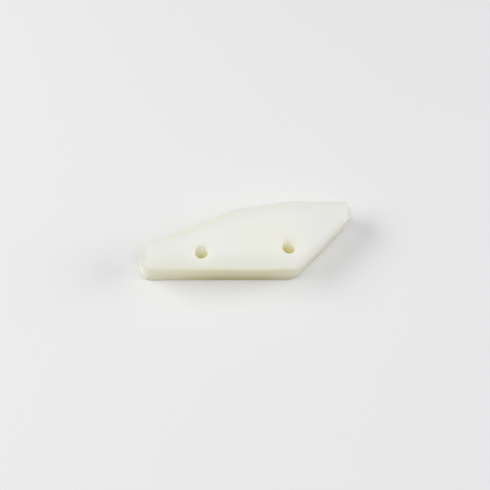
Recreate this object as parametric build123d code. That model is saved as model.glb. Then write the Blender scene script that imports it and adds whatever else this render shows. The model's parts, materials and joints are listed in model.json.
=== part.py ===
from build123d import *
import math
import os

# Motorcycle chain guide: one moulded plate of natural nylon with two bolt holes.
# It lies flat, with its underside on Z = 0. X runs along the straight rubbing edge,
# from the low nose to the deep tail, and +Y runs back across the plate.

os.makedirs("parts", exist_ok=True)

# Driving sizes, in millimetres and degrees

# The block that the plate fits in
length = 105.0
depth = 37.3
thickness = 15.0

# The nose end, and the back edge: a flat at the tail, then a gentle crown. The ramp from
# the end of the crown down to the nose takes what is left of the length.
nose_height = 10.9
back_flat_length = 31.8
crown_run = 27.4
crown_angle = 11.0

# The tail end, and the slanted heel under it that leads down to the rubbing edge
tail_height = 7.9
heel_angle = 45.0

# Plan radii of the outline's corners and bends
nose_front_radius = 4.2
nose_back_radius = 3.7
ramp_bend_radius = 19.0
crown_bend_radius = 20.0
tail_corner_radius = 2.6
heel_bend_radius = 12.0
toe_radius = 9.0

# The most of a side that the two arcs at its ends may take up between them
largest_arc_share = 0.98

# The softly rounded edges of both faces
edge_round = 1.2

# The two bolt holes. The one by the tail sits a little further from the rubbing edge.
bolt_hole_diameter = 6.5
nose_bolt_from_nose = 28.8
nose_bolt_from_rubbing_edge = 8.7
tail_bolt_from_tail = 33.9
tail_bolt_from_rubbing_edge = 11.6
hole_mouth_round = 0.5


def outline_corners():
    """The sharp corners of the outline, anticlockwise from the front of the nose."""
    heel_rise = depth - tail_height
    heel_run = heel_rise / math.tan(math.radians(heel_angle))
    crown_drop = crown_run * math.tan(math.radians(crown_angle))
    crown_top = (length - back_flat_length, depth)
    ramp_top = (crown_top[0] - crown_run, depth - crown_drop)
    return [
        ((0, 0), nose_front_radius),
        ((length - heel_run, 0), toe_radius),
        ((length, heel_rise), heel_bend_radius),
        ((length, depth), tail_corner_radius),
        (crown_top, crown_bend_radius),
        (ramp_top, ramp_bend_radius),
        ((0, nose_height), nose_back_radius),
    ]


def rounded_outline(corners):
    """The closed outline, with each corner's arc limited by the two sides that it joins."""
    points = [Vector(*point) for point, radius in corners]
    count = len(points)
    sides = [points[(i + 1) % count] - points[i] for i in range(count)]
    turns = [math.radians(sides[i - 1].get_angle(sides[i])) for i in range(count)]
    reaches = [corners[i][1] * math.tan(turns[i] / 2) for i in range(count)]
    limits = [
        largest_arc_share * sides[i].length / (reaches[i] + reaches[(i + 1) % count])
        for i in range(count)
    ]
    radii = [corners[i][1] * min(1, limits[i - 1], limits[i]) for i in range(count)]
    return FilletPolyline(*points, radius=radii, close=True)


def flat_face_edges(body):
    """The edges of the top and the underside."""
    return body.faces().filter_by(Axis.Z).edges()


def chain_guide_plate():
    """The plate: its outline raised to full thickness, edges rounded, then bored."""
    body = extrude(make_face(rounded_outline(outline_corners())), thickness)
    body = fillet(flat_face_edges(body), edge_round)
    bore = extrude(Circle(bolt_hole_diameter / 2), thickness)
    body -= Pos(nose_bolt_from_nose, nose_bolt_from_rubbing_edge) * bore
    body -= Pos(length - tail_bolt_from_tail, tail_bolt_from_rubbing_edge) * bore
    mouths = [edge for edge in flat_face_edges(body) if edge.is_closed]
    return fillet(mouths, hole_mouth_round)


# The origin is at the middle of the underside
plate = Pos(-length / 2, -depth / 2, 0) * chain_guide_plate()
export_step(plate, "parts/chain_guide_plate.step")
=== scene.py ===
import json
import math

import bpy
from mathutils import Matrix, Vector


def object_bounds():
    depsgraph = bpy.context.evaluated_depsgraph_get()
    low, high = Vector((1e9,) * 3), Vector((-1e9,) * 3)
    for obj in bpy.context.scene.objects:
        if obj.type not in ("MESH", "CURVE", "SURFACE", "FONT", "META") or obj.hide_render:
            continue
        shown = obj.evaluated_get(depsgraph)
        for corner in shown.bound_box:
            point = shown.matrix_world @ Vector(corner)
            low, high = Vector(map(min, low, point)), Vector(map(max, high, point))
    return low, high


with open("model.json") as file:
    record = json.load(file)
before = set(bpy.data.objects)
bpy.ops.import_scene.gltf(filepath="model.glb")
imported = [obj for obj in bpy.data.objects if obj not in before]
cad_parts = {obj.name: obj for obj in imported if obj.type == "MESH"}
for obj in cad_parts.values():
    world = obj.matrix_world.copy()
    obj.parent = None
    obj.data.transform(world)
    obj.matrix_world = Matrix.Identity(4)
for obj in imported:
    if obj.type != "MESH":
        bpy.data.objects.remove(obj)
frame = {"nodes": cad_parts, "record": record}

cad_low, cad_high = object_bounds()
scene = bpy.context.scene


# The camera looks down on the plate from the front at a steep angle, from close by. The
# plate lies askew to it, with the nose to the left and the straight edge to the front.
VIEW_TARGET = Vector((-0.000873, 0.000786, 0.0))
VIEW_DISTANCE = 0.29533
VIEW_ELEVATION = math.radians(64.0)
VIEW_TURN = math.radians(14.703)
VIEW_ROLL = math.radians(13.599)
SENSOR_WIDTH = 36.0
PICTURE_WIDTH = 490
FOCAL_LENGTH_IN_PIXELS = 581.597
NEAREST_SEEN = 0.01
FARTHEST_SEEN = 20.0

forward = Vector((
    math.sin(VIEW_TURN) * math.cos(VIEW_ELEVATION),
    math.cos(VIEW_TURN) * math.cos(VIEW_ELEVATION),
    -math.sin(VIEW_ELEVATION),
))
level_right = Vector((math.cos(VIEW_TURN), -math.sin(VIEW_TURN), 0.0))
level_up = level_right.cross(forward)
right = level_right * math.cos(VIEW_ROLL) + level_up * math.sin(VIEW_ROLL)
up = level_up * math.cos(VIEW_ROLL) - level_right * math.sin(VIEW_ROLL)

camera_data = bpy.data.cameras.new("camera")
camera_data.sensor_width = SENSOR_WIDTH
camera_data.lens = FOCAL_LENGTH_IN_PIXELS / PICTURE_WIDTH * SENSOR_WIDTH
camera_data.clip_start = NEAREST_SEEN
camera_data.clip_end = FARTHEST_SEEN
camera = bpy.data.objects.new("camera", camera_data)
camera_place = Matrix((right, up, -forward)).transposed().to_4x4()
camera_place.translation = VIEW_TARGET - forward * VIEW_DISTANCE
camera.matrix_world = camera_place
scene.collection.objects.link(camera)
scene.camera = camera


# The plate is one block of natural nylon, moulded and left undyed. It is pale ivory on its
# faces and lets light in. Its colour also holds painted light: painted shade that makes the
# rims yellower and the walls olive towards the foot, and a painted glow in the bolt holes.
GLOW_DEPTH = 0.009
NYLON_IOR = 1.53
NYLON_SHINE = 0.25

nylon = bpy.data.materials.new("natural_nylon")
nylon.use_nodes = True
nodes, links = nylon.node_tree.nodes, nylon.node_tree.links
shader = nodes["Principled BSDF"]
shader.subsurface_method = "RANDOM_WALK"
shader.inputs["Subsurface Weight"].default_value = 1.0
shader.inputs["Subsurface Radius"].default_value = (1.0, 1.0, 1.0)
shader.inputs["Subsurface Scale"].default_value = GLOW_DEPTH
shader.inputs["IOR"].default_value = NYLON_IOR
shader.inputs["Specular IOR Level"].default_value = NYLON_SHINE


def feed(socket, value):
    """A socket takes another socket's value, or a plain one."""
    if isinstance(value, bpy.types.NodeSocket):
        links.new(value, socket)
    else:
        socket.default_value = value


def calculate(operation, first, second=0.0):
    """One sum on two numbers."""
    node = nodes.new("ShaderNodeMath")
    node.operation = operation
    feed(node.inputs[0], first)
    feed(node.inputs[1], second)
    return node.outputs["Value"]


def calculate_vector(operation, first, second, result):
    """One sum on two vectors."""
    node = nodes.new("ShaderNodeVectorMath")
    node.operation = operation
    feed(node.inputs[0], first)
    feed(node.inputs[1], second)
    return node.outputs[result]


def spread(value, low, high, at_low, at_high):
    """A number softly stretched from one range to another, and kept inside it."""
    node = nodes.new("ShaderNodeMapRange")
    node.interpolation_type = "SMOOTHSTEP"
    feed(node.inputs["Value"], value)
    feed(node.inputs["From Min"], low)
    feed(node.inputs["From Max"], high)
    feed(node.inputs["To Min"], at_low)
    feed(node.inputs["To Max"], at_high)
    return node.outputs["Result"]


def rising(value, low, high):
    """An amount that is 0 up to the low end of a range and 1 past its high end."""
    return spread(value, low, high, 0.0, 1.0)


def falling(value, low, high):
    """An amount that is 1 up to the low end of a range and 0 past its high end."""
    return spread(value, low, high, 1.0, 0.0)


def clouds(size, detail):
    """A soft pattern through the block, with features of about this size."""
    node = nodes.new("ShaderNodeTexNoise")
    feed(node.inputs["Vector"], place)
    feed(node.inputs["Scale"], 1.0 / size)
    feed(node.inputs["Detail"], detail)
    return node.outputs["Fac"]


def mixed(amount, first, second):
    """Two colours mixed: the first where the amount is 0, the second where it is 1."""
    node = nodes.new("ShaderNodeMix")
    node.data_type = "RGBA"
    feed(node.inputs[0], amount)
    feed(node.inputs[6], first)
    feed(node.inputs[7], second)
    return node.outputs[2]


def ramp(amount, stops):
    """A colour that runs through these stops."""
    node = nodes.new("ShaderNodeValToRGB")
    while len(node.color_ramp.elements) < len(stops):
        node.color_ramp.elements.new(1.0)
    for element, (position, colour) in zip(node.color_ramp.elements, stops):
        element.position = position
        element.color = colour
    feed(node.inputs["Fac"], amount)
    return node.outputs["Color"]


# Where a point of the surface lies. Here and in the rest of the nylon, every distance is
# in millimetres: along the plate from the nose, and from the nearest bolt hole's wall. The
# height runs from 0 at the foot to 1 at the top.
PER_METRE = 1000.0

metres = nodes.new("ShaderNodeTexCoord").outputs["Object"]
place = calculate_vector("MULTIPLY", metres, Vector((PER_METRE, PER_METRE, PER_METRE)), "Vector")
coordinates = nodes.new("ShaderNodeSeparateXYZ")
links.new(place, coordinates.inputs["Vector"])
height = calculate("DIVIDE", coordinates.outputs["Z"], cad_high.z * PER_METRE)
from_nose = calculate("SUBTRACT", coordinates.outputs["X"], cad_low.x * PER_METRE)

flat_place = calculate_vector("MULTIPLY", place, Vector((1.0, 1.0, 0.0)), "Vector")
gaps = []
for mount in frame["record"]["mounts"]:
    if mount["kind"] == "bore":
        axis = Vector((mount["pos_m"][0], mount["pos_m"][1], 0.0)) * PER_METRE
        from_axis = calculate_vector("DISTANCE", flat_place, axis, "Value")
        gaps.append(calculate("SUBTRACT", from_axis, mount["dims"]["r_mm"]))
gap_to_hole = calculate("MINIMUM", *gaps)

# Which way the surface faces there, and how level it is: 1 on the two faces, 0 on the walls
facing = nodes.new("ShaderNodeSeparateXYZ")
links.new(nodes.new("ShaderNodeNewGeometry").outputs["Normal"], facing.inputs["Vector"])
to_tail, to_back, upward = facing.outputs
level = calculate("ABSOLUTE", upward)

# The faces are ivory, with a warmer patch of no clear outline towards the middle, and they
# are a little duller towards both ends
FACE_IVORY = (0.852, 0.864, 0.831, 1.0)
FACE_CREAM = (0.862, 0.864, 0.796, 1.0)
CREAM_PLACE = (7.0, -4.0, 0.0)
CREAM_STRETCH = (1.0, 2.0, 0.0)
CREAM_REACH = (8.0, 30.0)
CREAM_WANDER = 40.0
CREAM_CLOUD_SIZE = 14.0
NOSE_IVORY = (0.818, 0.826, 0.792, 1.0)
NOSE_REACH = (0.0, 40.0)
TAIL_IVORY = (0.795, 0.805, 0.770, 1.0)
TAIL_REACH = (70.0, 105.0)

stretched = calculate_vector("MULTIPLY", place, CREAM_STRETCH, "Vector")
from_cream = calculate_vector("DISTANCE", stretched, CREAM_PLACE, "Value")
wander = calculate("MULTIPLY", calculate("SUBTRACT", clouds(CREAM_CLOUD_SIZE, 2.0), 0.5), CREAM_WANDER)
in_cream = falling(calculate("ADD", from_cream, wander), *CREAM_REACH)
face = mixed(in_cream, FACE_IVORY, FACE_CREAM)
face = mixed(falling(from_nose, *NOSE_REACH), face, NOSE_IVORY)
face = mixed(rising(from_nose, *TAIL_REACH), face, TAIL_IVORY)

# Towards each side the face is painted darker, a painted shade for the light it loses through
# the wall, darkest by the tail and the nose, where the side lamps light the rims most. A side
# has its two corners, measured from the nose's front corner, the colour of its painted shade
# by the edge, and how far in that reaches.
FRONT = ((0.0, 0.0), (75.6, 0.0), (0.795, 0.793, 0.722, 1.0), 11.0)
HEEL = ((75.6, 0.0), (105.0, 29.4), (0.690, 0.682, 0.628, 1.0), 4.0)
TAIL = ((105.0, 29.4), (105.0, 37.3), (0.440, 0.450, 0.390, 1.0), 4.0)
BACK_FLAT = ((105.0, 37.3), (73.2, 37.3), (0.730, 0.745, 0.620, 1.0), 4.0)
CROWN = ((73.2, 37.3), (45.8, 31.97), (0.770, 0.785, 0.650, 1.0), 4.0)
RAMP = ((45.8, 31.97), (0.0, 10.9), (0.750, 0.765, 0.630, 1.0), 4.0)
NOSE = ((0.0, 10.9), (0.0, 0.0), (0.650, 0.662, 0.585, 1.0), 5.0)
EDGE_SHADE = (0.804, 0.809, 0.761, 1.0)
EDGE_REACH = 9.0

nose_corner = Vector((cad_low.x, cad_low.y, 0.0)) * PER_METRE
for start, end, colour, reach in (FRONT, HEEL, TAIL, BACK_FLAT, CROWN, RAMP, NOSE):
    inwards = Vector((start[1] - end[1], end[0] - start[0], 0.0)).normalized()
    side_place = inwards.dot(nose_corner + Vector((*start, 0.0)))
    inset = calculate("SUBTRACT", calculate_vector("DOT_PRODUCT", place, inwards, "Value"), side_place)
    face = mixed(falling(inset, 0.0, EDGE_REACH), face, EDGE_SHADE)
    face = mixed(falling(inset, 0.0, reach), face, colour)

# The same painted shade lies round the bolt holes. The underside is painted paler, a painted
# bounce light from the paper under it, which sends the light back.
HOLE_SIDE_SHADE = (0.820, 0.822, 0.770, 1.0)
HOLE_SIDE_REACH = 3.5
UNDERSIDE_BOUNCE_LIGHT = (0.990, 0.980, 0.920, 1.0)
UNDERSIDE_HEIGHT = 0.02

face = mixed(falling(gap_to_hole, 0.0, HOLE_SIDE_REACH), face, HOLE_SIDE_SHADE)
face = mixed(falling(height, 0.0, UNDERSIDE_HEIGHT), face, UNDERSIDE_BOUNCE_LIGHT)

# The rounded rims are painted yellower: the front one is a painted highlight, the glint along
# the front edge, and fades out at the nose and before the heel; the back one is painted shade.
FRONT_RIM_HIGHLIGHT = (0.875, 0.860, 0.630, 1.0)
FRONT_RIM_LEVEL = (0.85, 0.98)
FACING_FRONT = (-0.25, 0.0)
PAST_NOSE = (1.0, 12.0)
BEFORE_HEEL = (68.0, 80.0)
BACK_RIM_SHADE = (0.820, 0.832, 0.640, 1.0)
BACK_RIM_LEVEL = (0.75, 0.99)
FACING_BACK = (0.0, 0.3)

between_ends = calculate("MULTIPLY", rising(from_nose, *PAST_NOSE), falling(from_nose, *BEFORE_HEEL))
front_rim_highlight = calculate("MULTIPLY", falling(level, *FRONT_RIM_LEVEL), falling(to_back, *FACING_FRONT))
face = mixed(calculate("MULTIPLY", front_rim_highlight, between_ends), face, FRONT_RIM_HIGHLIGHT)
back_rim_shade = calculate("MULTIPLY", falling(level, *BACK_RIM_LEVEL), rising(to_back, *FACING_BACK))
face = mixed(back_rim_shade, face, BACK_RIM_SHADE)

# Each wall is painted darker, to olive, towards its foot, a painted shade: the front one most
# in its middle and less by the nose and by the toe, where it turns into the heel. By the nose
# the front wall and the nose's own wall are painted paler, a painted light. The colours run up
# the wall.
FRONT_WALL = [
    (0.00, (0.510, 0.440, 0.120, 1.0)),
    (0.25, (0.670, 0.610, 0.360, 1.0)),
    (0.50, (0.820, 0.765, 0.540, 1.0)),
    (0.80, (0.865, 0.820, 0.590, 1.0)),
    (0.90, (0.930, 0.910, 0.680, 1.0)),
]
FRONT_WALL_LIGHT_BY_NOSE = [
    (0.00, (0.9999, 0.960, 0.620, 1.0)),
    (0.50, (0.9999, 0.945, 0.730, 1.0)),
    (1.00, (0.9999, 0.960, 0.770, 1.0)),
]
FRONT_WALL_BY_TOE = [
    (0.00, (0.680, 0.630, 0.450, 1.0)),
    (0.50, (0.840, 0.800, 0.600, 1.0)),
    (1.00, (0.840, 0.820, 0.660, 1.0)),
]
BACK_WALL = [
    (0.00, (0.660, 0.610, 0.430, 1.0)),
    (0.50, (0.770, 0.730, 0.560, 1.0)),
    (1.00, (0.800, 0.770, 0.620, 1.0)),
]
HEEL_WALL = [
    (0.00, (0.580, 0.550, 0.430, 1.0)),
    (0.50, (0.750, 0.730, 0.600, 1.0)),
    (1.00, (0.660, 0.640, 0.555, 1.0)),
]
NOSE_WALL_LIGHT = (0.880, 0.865, 0.735, 1.0)
BY_NOSE = (0.0, 40.0)
BY_TOE = (55.0, 74.0)
FACING_AWAY_FROM_FRONT = (-0.75, -0.25)
FACING_TAIL = (0.25, 0.65)
FACING_NOSE = (-0.95, -0.60)
WALL_LEVEL = (0.30, 0.85)

front = mixed(falling(from_nose, *BY_NOSE), ramp(height, FRONT_WALL), ramp(height, FRONT_WALL_LIGHT_BY_NOSE))
front = mixed(rising(from_nose, *BY_TOE), front, ramp(height, FRONT_WALL_BY_TOE))
wall = mixed(rising(to_back, *FACING_AWAY_FROM_FRONT), front, ramp(height, BACK_WALL))
wall = mixed(rising(to_tail, *FACING_TAIL), wall, ramp(height, HEEL_WALL))
wall = mixed(falling(to_tail, *FACING_NOSE), wall, NOSE_WALL_LIGHT)
block = mixed(falling(level, *WALL_LEVEL), face, wall)

# The nose's own rim is the dullest, a painted shade that holds down the left lamp's light on it,
# from its first turn away from the face
NOSE_RIM_SHADE = (0.565, 0.580, 0.460, 1.0)
NOSE_RIM_LEVEL = (0.05, 0.30)
NOSE_RIM_FACING = (-0.9, 0.0)

nose_rim_shade = calculate("MULTIPLY", falling(to_tail, *NOSE_RIM_FACING), rising(level, *NOSE_RIM_LEVEL))
block = mixed(nose_rim_shade, block, NOSE_RIM_SHADE)

# The bolt holes are painted near white, a painted glow for the light that comes through the
# block. They are painted darker and amber at the foot, a painted shade, more so in the hole by
# the tail, and duller on the side that faces the nose, painted shade where the left lamp lights
# it. Their rounded mouths run over into the face in painted shade, darkest on that same side.
NOSE_HOLE_GLOW = [
    (0.12, (0.9999, 0.990, 0.800, 1.0)),
    (0.35, (0.9999, 0.992, 0.890, 1.0)),
    (0.60, (0.9999, 0.996, 0.935, 1.0)),
    (0.90, (0.9999, 0.999, 0.985, 1.0)),
]
TAIL_HOLE_GLOW = [
    (0.12, (0.9850, 0.915, 0.600, 1.0)),
    (0.30, (0.9990, 0.972, 0.735, 1.0)),
    (0.45, (0.9999, 0.986, 0.820, 1.0)),
    (0.70, (0.9999, 0.998, 0.930, 1.0)),
    (0.90, (0.9999, 0.999, 0.975, 1.0)),
]
HOLE_TAIL_SIDE_SHADE = (0.965, 0.955, 0.820, 1.0)
MOUTH_SHADE = (0.810, 0.810, 0.760, 1.0)
MOUTH_TAIL_SIDE_SHADE = (0.540, 0.535, 0.460, 1.0)
BETWEEN_HOLES = (45.0, 55.0)
HOLE_TAIL_SIDE_FACING = (-1.0, -0.5)
MOUTH_TAIL_SIDE_FACING = (-0.6, 0.0)
MOUTH_LEVEL = (0.2, 0.7)
HOLE_REACH = (0.0, 0.6)
HOLE_LEVEL = (0.8, 1.0)

bore = mixed(rising(from_nose, *BETWEEN_HOLES), ramp(height, NOSE_HOLE_GLOW), ramp(height, TAIL_HOLE_GLOW))
bore = mixed(falling(to_tail, *HOLE_TAIL_SIDE_FACING), bore, HOLE_TAIL_SIDE_SHADE)
mouth = mixed(falling(to_tail, *MOUTH_TAIL_SIDE_FACING), MOUTH_SHADE, MOUTH_TAIL_SIDE_SHADE)
hole = mixed(rising(upward, *MOUTH_LEVEL), bore, mouth)
in_hole = calculate("MULTIPLY", falling(gap_to_hole, *HOLE_REACH), falling(level, *HOLE_LEVEL))
links.new(mixed(in_hole, block, hole), shader.inputs["Base Color"])

# The skin is satin, not quite even, with the fine grain of a mould
SMOOTHEST, ROUGHEST = 0.56, 0.66
SKIN_CLOUD_SIZE = 5.0
SKIN_CLOUD_RANGE = (0.3, 0.7)
GRAIN_SIZE = 0.7
GRAIN_STRENGTH = 0.1
GRAIN_DEPTH = 0.0001

skin = spread(clouds(SKIN_CLOUD_SIZE, 3.0), *SKIN_CLOUD_RANGE, SMOOTHEST, ROUGHEST)
links.new(skin, shader.inputs["Roughness"])
grain = nodes.new("ShaderNodeBump")
grain.inputs["Strength"].default_value = GRAIN_STRENGTH
grain.inputs["Distance"].default_value = GRAIN_DEPTH
links.new(clouds(GRAIN_SIZE, 3.0), grain.inputs["Height"])
links.new(grain.outputs["Normal"], shader.inputs["Normal"])

plate = frame["nodes"]["chain_guide_plate"]
plate.material_slots[0].material = nylon


# The floor is a plain sheet of pale paper that the plate lies on. It ends well outside the
# view, a hair below the plate, so that light can pass between the two.
FLOOR_HALF_WIDTH = 0.3
FLOOR_GAP = 0.0001
PAPER = (0.848, 0.850, 0.857, 1.0)

floor_mesh = bpy.data.meshes.new("floor")
corners = [(-1, -1), (1, -1), (1, 1), (-1, 1)]
floor_mesh.from_pydata(
    [(x * FLOOR_HALF_WIDTH, y * FLOOR_HALF_WIDTH, -FLOOR_GAP) for x, y in corners], [], [(0, 1, 2, 3)]
)
floor = bpy.data.objects.new("floor", floor_mesh)
scene.collection.objects.link(floor)
paper = bpy.data.materials.new("floor_paper")
paper.use_nodes = True
paper_shader = paper.node_tree.nodes["Principled BSDF"]
paper_shader.inputs["Base Color"].default_value = PAPER
paper_shader.inputs["Roughness"].default_value = 1.0
paper_shader.inputs["Specular IOR Level"].default_value = 0.0
floor_mesh.materials.append(paper)


# The light is that of a small studio: a large softbox at the left, a weaker one at the
# right, one overhead, and an even glow from the white walls around. Each lamp has its
# azimuth and elevation in degrees, its two sides in metres and its power in watts.
LAMPS = [
    ("left_softbox", 170.7, 32.4, 1.134, 0.624, 12.0),
    ("right_softbox", 5.4, 21.5, 0.944, 0.777, 9.28),
    ("top_softbox", 267.8, 76.0, 1.21, 0.829, 6.75),
]
LAMP_DISTANCE = 1.4
ROOM_GLOW = 0.23
BACKDROP_SEEN = 0.84
LIGHT_BOUNCES = 64

for name, azimuth, elevation, long_side, short_side, power in LAMPS:
    turn, rise = math.radians(azimuth), math.radians(elevation)
    away = Vector((math.cos(turn) * math.cos(rise), math.sin(turn) * math.cos(rise), math.sin(rise)))
    lamp_data = bpy.data.lights.new(name, "AREA")
    lamp_data.shape = "RECTANGLE"
    lamp_data.size = long_side
    lamp_data.size_y = short_side
    lamp_data.energy = power
    lamp = bpy.data.objects.new(name, lamp_data)
    lamp.location = away * LAMP_DISTANCE
    lamp.rotation_euler = away.to_track_quat("Z", "Y").to_euler()
    scene.collection.objects.link(lamp)

room = bpy.data.worlds.new("room")
room.use_nodes = True
room_nodes, room_links = room.node_tree.nodes, room.node_tree.links
room_nodes["Background"].inputs["Color"].default_value = (1.0, 1.0, 1.0, 1.0)
seen = room_nodes.new("ShaderNodeMapRange")
seen.inputs["To Min"].default_value = ROOM_GLOW
seen.inputs["To Max"].default_value = BACKDROP_SEEN
room_links.new(room_nodes.new("ShaderNodeLightPath").outputs["Is Camera Ray"], seen.inputs["Value"])
room_links.new(seen.outputs["Result"], room_nodes["Background"].inputs["Strength"])
scene.world = room

# A pale block that lets light in needs many bounces
scene.cycles.max_bounces = LIGHT_BOUNCES
scene.cycles.diffuse_bounces = LIGHT_BOUNCES
scene.view_settings.view_transform = "Standard"
